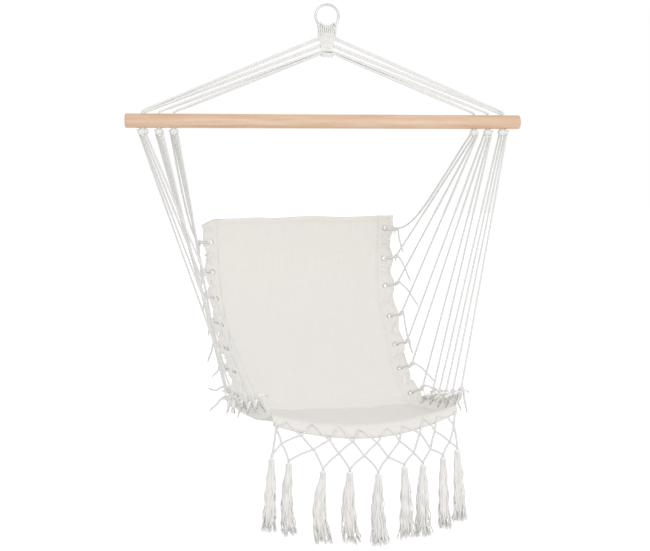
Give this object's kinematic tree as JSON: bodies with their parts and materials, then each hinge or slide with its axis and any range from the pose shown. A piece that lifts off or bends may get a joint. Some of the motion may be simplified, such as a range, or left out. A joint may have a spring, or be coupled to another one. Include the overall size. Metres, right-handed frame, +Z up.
{
  "type": "hammock chair",
  "caption": "Padded canvas sling chair laced by cords through eyelets to a round wooden spreader bar, hung from a metal ring, with a knotted fringe and tassels.",
  "frame": {"origin": "inside top of the hanging ring, where a hook bears", "axes": "+Z up, +X along the spreader bar to the sitter's left, +Y towards the back of the chair; the sitter faces -Y"},
  "size_m": [1, 0.8152, 1.259],
  "materials": {
    "ring_steel": "bright plated steel wire",
    "beech": "clear satin lacquer",
    "cotton_cord": "braided natural cotton cord",
    "cotton_yarn": "loose twisted cotton yarn",
    "canvas": "natural cotton canvas with a slubby weave",
    "wadding": "bonded polyester wadding"
  },
  "bodies": {
    "ring": {"hanging_ring": "ring_steel"},
    "lashing": {"ring_lashing": "cotton_cord"},
    "throat": {"clew_throat": "cotton_cord"},
    "carrier": {"clew": "cotton_cord", "clew_knot": "cotton_cord", "spreader_bar": "beech", "upper_cords_left_outer": "cotton_cord", "upper_cords_left_middle": "cotton_cord", "upper_cords_left_inner": "cotton_cord", "upper_cords_right_outer": "cotton_cord", "upper_cords_right_middle": "cotton_cord", "upper_cords_right_inner": "cotton_cord"},
    "seat": {"bar_knot_left_outer": "cotton_cord", "bar_knot_left_middle": "cotton_cord", "bar_knot_left_inner": "cotton_cord", "bar_knot_right_outer": "cotton_cord", "bar_knot_right_middle": "cotton_cord", "bar_knot_right_inner": "cotton_cord", "rope_left_01": "cotton_cord", "rope_left_02": "cotton_cord", "rope_left_03": "cotton_cord", "rope_left_04": "cotton_cord", "rope_left_05": "cotton_cord", "rope_left_06": "cotton_cord", "rope_left_07": "cotton_cord", "rope_left_08": "cotton_cord", "rope_left_09": "cotton_cord", "rope_left_10": "cotton_cord", "rope_left_11": "cotton_cord", "rope_left_12": "cotton_cord", "rope_right_01": "cotton_cord", "rope_right_02": "cotton_cord", "rope_right_03": "cotton_cord", "rope_right_04": "cotton_cord", "rope_right_05": "cotton_cord", "rope_right_06": "cotton_cord", "rope_right_07": "cotton_cord", "rope_right_08": "cotton_cord", "rope_right_09": "cotton_cord", "rope_right_10": "cotton_cord", "rope_right_11": "cotton_cord", "rope_right_12": "cotton_cord", "front_canvas": "canvas", "wadding": "wadding", "back_canvas": "canvas", "eyelet_strip_left": "canvas", "eyelet_strip_right": "canvas", "fringe_net": "cotton_cord"},
    "tassel_1": {"tassel_1": "cotton_yarn"},
    "tassel_2": {"tassel_2": "cotton_yarn"},
    "tassel_3": {"tassel_3": "cotton_yarn"},
    "tassel_4": {"tassel_4": "cotton_yarn"},
    "tassel_5": {"tassel_5": "cotton_yarn"},
    "tassel_6": {"tassel_6": "cotton_yarn"},
    "tassel_7": {"tassel_7": "cotton_yarn"},
    "tassel_8": {"tassel_8": "cotton_yarn"},
    "tassel_9": {"tassel_9": "cotton_yarn"}
  },
  "joints": [
    {"name": "sway", "type": "hinge", "parent": "ring", "child": "lashing", "pos_m": [0, 0, -0.026], "axis": [0, 1, 0], "range_deg": [-20, 20]},
    {"name": "swing", "type": "hinge", "parent": "lashing", "child": "throat", "pos_m": [0, 0, -0.055], "axis": [1, 0, 0], "range_deg": [-25, 25]},
    {"name": "twist", "type": "hinge", "parent": "throat", "child": "carrier", "pos_m": [0, 0, -0.07], "axis": [0, 0, 1], "range_deg": [-90, 90], "stiffness_Nm_per_rad": 0.05},
    {"name": "seat_swing", "type": "hinge", "parent": "carrier", "child": "seat", "pos_m": [0, 0, -0.3103], "axis": [1, 0, 0], "range_deg": [-15, 15]},
    {"name": "tassel_1_swing", "type": "hinge", "parent": "seat", "child": "tassel_1", "pos_m": [-0.219, -0.41105, -1.0415], "axis": [1, 0, 0], "range_deg": [-50, 50]},
    {"name": "tassel_2_swing", "type": "hinge", "parent": "seat", "child": "tassel_2", "pos_m": [-0.17958, -0.41105, -1.0532], "axis": [1, 0, 0], "range_deg": [-50, 50]},
    {"name": "tassel_3_swing", "type": "hinge", "parent": "seat", "child": "tassel_3", "pos_m": [-0.10074, -0.41105, -1.0753], "axis": [1, 0, 0], "range_deg": [-50, 50]},
    {"name": "tassel_4_swing", "type": "hinge", "parent": "seat", "child": "tassel_4", "pos_m": [-0.03832, -0.41105, -1.0792], "axis": [1, 0, 0], "range_deg": [-50, 50]},
    {"name": "tassel_5_swing", "type": "hinge", "parent": "seat", "child": "tassel_5", "pos_m": [0.02847, -0.41105, -1.087], "axis": [1, 0, 0], "range_deg": [-50, 50]},
    {"name": "tassel_6_swing", "type": "hinge", "parent": "seat", "child": "tassel_6", "pos_m": [0.08979, -0.41105, -1.0727], "axis": [1, 0, 0], "range_deg": [-50, 50]},
    {"name": "tassel_7_swing", "type": "hinge", "parent": "seat", "child": "tassel_7", "pos_m": [0.13359, -0.41105, -1.0701], "axis": [1, 0, 0], "range_deg": [-50, 50]},
    {"name": "tassel_8_swing", "type": "hinge", "parent": "seat", "child": "tassel_8", "pos_m": [0.18177, -0.41105, -1.0545], "axis": [1, 0, 0], "range_deg": [-50, 50]},
    {"name": "tassel_9_swing", "type": "hinge", "parent": "seat", "child": "tassel_9", "pos_m": [0.21571, -0.41105, -1.0389], "axis": [1, 0, 0], "range_deg": [-50, 50]}
  ]
}
